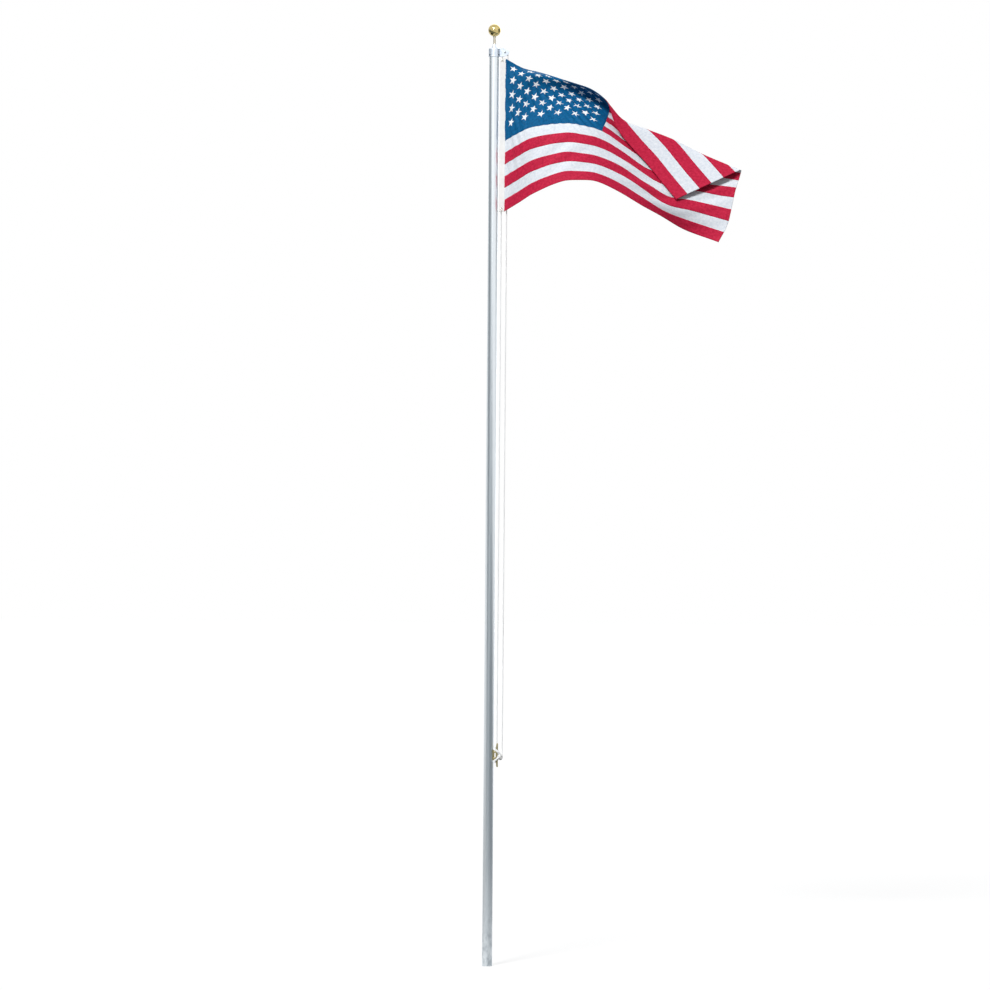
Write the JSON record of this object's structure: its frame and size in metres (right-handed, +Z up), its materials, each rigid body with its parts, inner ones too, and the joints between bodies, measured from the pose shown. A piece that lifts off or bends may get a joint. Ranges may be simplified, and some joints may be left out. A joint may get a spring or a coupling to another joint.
{
  "type": "flagpole",
  "caption": "Sectional aluminium flagpole with ball finial, cap truck and sheave, halyard on a cleat, and a striped, starred flag that hoists along the pole.",
  "frame": {"origin": "centre of the pole's foot at ground level", "axes": "+Z up the pole, +X the way the flag flies, -Y towards the viewer"},
  "size_m": [1.5242, 0.3205, 5.6242],
  "materials": {
    "pole": "satin drawn",
    "truck": "cast, lightly polished",
    "pin": "turned",
    "sheave": "moulded nylon",
    "stem": "turned",
    "gold": "polished gold anodised",
    "cleat": "cast, dull",
    "rope": "braided polyester",
    "canvas": "woven duck",
    "brass": "pressed",
    "flag_red": "woven nylon",
    "flag_white": "woven nylon",
    "flag_blue": "woven nylon"
  },
  "bodies": {
    "pole": {"lower_section": "pole", "upper_section": "pole", "joint_sleeve": "pole", "truck": "truck", "sheave_pin": "pin", "finial_stem": "stem", "finial_ball": "gold", "cleat": "cleat", "halyard_over_sheave": "rope", "halyard_inner_fall": "rope", "halyard_outer_fall": "rope", "cleat_hitch": "rope"},
    "sheave": {"sheave": "sheave"},
    "flag": {"heading": "canvas", "grommet_top": "brass", "grommet_bottom": "brass", "snap_top": "brass", "snap_bottom": "brass", "canton": "flag_blue", "stripe_01": "flag_red", "stripe_02": "flag_white", "stripe_03": "flag_red", "stripe_04": "flag_white", "stripe_05": "flag_red", "stripe_06": "flag_white", "stripe_07": "flag_red", "stripe_08": "flag_white", "stripe_09": "flag_red", "stripe_10": "flag_white", "stripe_11": "flag_red", "stripe_12": "flag_white", "stripe_13": "flag_red"}
  },
  "joints": [
    {"name": "flag_hoist", "type": "slide", "parent": "pole", "child": "flag", "axis": [0, 0, 1], "range_m": [-3.1, 0]},
    {"name": "sheave_turn", "type": "hinge", "parent": "pole", "child": "sheave", "pos_m": [0.064, 0, 5.454], "axis": [0, 1, 0], "continuous": true}
  ],
  "couplings": [
    {"joint": "sheave_turn", "follows": "flag_hoist", "rad_per_m": 62.5}
  ]
}
